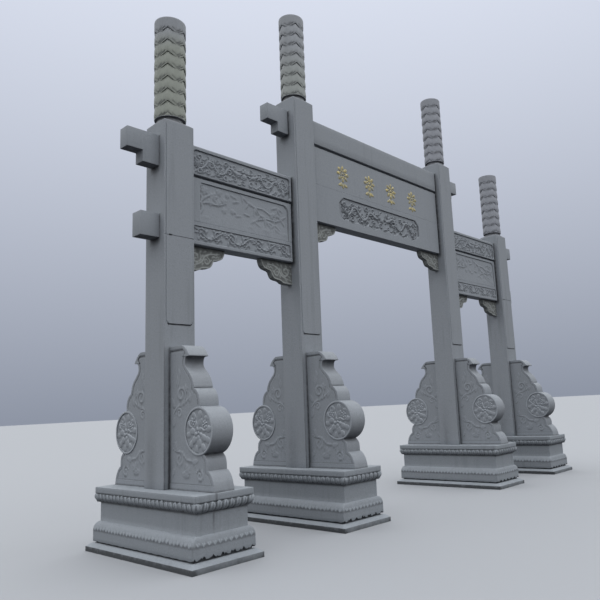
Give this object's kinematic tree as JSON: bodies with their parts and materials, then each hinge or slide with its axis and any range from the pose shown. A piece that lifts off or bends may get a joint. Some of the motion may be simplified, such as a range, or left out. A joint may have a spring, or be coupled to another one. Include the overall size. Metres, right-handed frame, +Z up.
{
  "type": "stone memorial gateway",
  "caption": "Free-standing carved stone gateway: square pillars on moulded plinths, drum stones, banded round crowns, stepped beam heads and a centre bay higher than its sides.",
  "frame": {"origin": "bottom centre of the bounding box, on the ground midway between the inner pillars", "axes": "+X along the gate from the left side bay to the right one seen from the front, +Y from the front to the back, +Z up"},
  "size_m": [9.834, 2.294, 7.932],
  "materials": {
    "granite": "smooth dressed granite, lightly weathered",
    "plinth_granite": "dressed granite, paler on its upper faces",
    "crown_granite": "carved granite with a faint warm bloom",
    "carved_granite": "granite carved in low relief, darker in its hollows",
    "gilding": "dull gold leaf on the carved ornaments of the plaque"
  },
  "bodies": {
    "root": {"centre_left_bracket": "carved_granite", "centre_lintel": "carved_granite", "centre_plaque": "carved_granite", "centre_right_bracket": "carved_granite", "centre_top_beam": "carved_granite", "crown_1": "crown_granite", "crown_2": "crown_granite", "crown_3": "crown_granite", "crown_4": "crown_granite", "drum_stone_back_1": "granite", "drum_stone_back_2": "granite", "drum_stone_back_3": "granite", "drum_stone_back_4": "granite", "drum_stone_front_1": "granite", "drum_stone_front_2": "granite", "drum_stone_front_3": "granite", "drum_stone_front_4": "granite", "ground_slab_1": "plinth_granite", "ground_slab_2": "plinth_granite", "ground_slab_3": "plinth_granite", "ground_slab_4": "plinth_granite", "left_inner_bracket": "carved_granite", "left_lower_beam": "carved_granite", "left_outer_bracket": "carved_granite", "left_panel": "carved_granite", "left_top_beam": "carved_granite", "pillar_1": "granite", "pillar_2": "granite", "pillar_3": "granite", "pillar_4": "granite", "plinth_1": "plinth_granite", "plinth_2": "plinth_granite", "plinth_3": "plinth_granite", "plinth_4": "plinth_granite", "right_inner_bracket": "carved_granite", "right_lower_beam": "carved_granite", "right_outer_bracket": "carved_granite", "right_panel": "carved_granite", "right_top_beam": "carved_granite"}
  },
  "joints": []
}
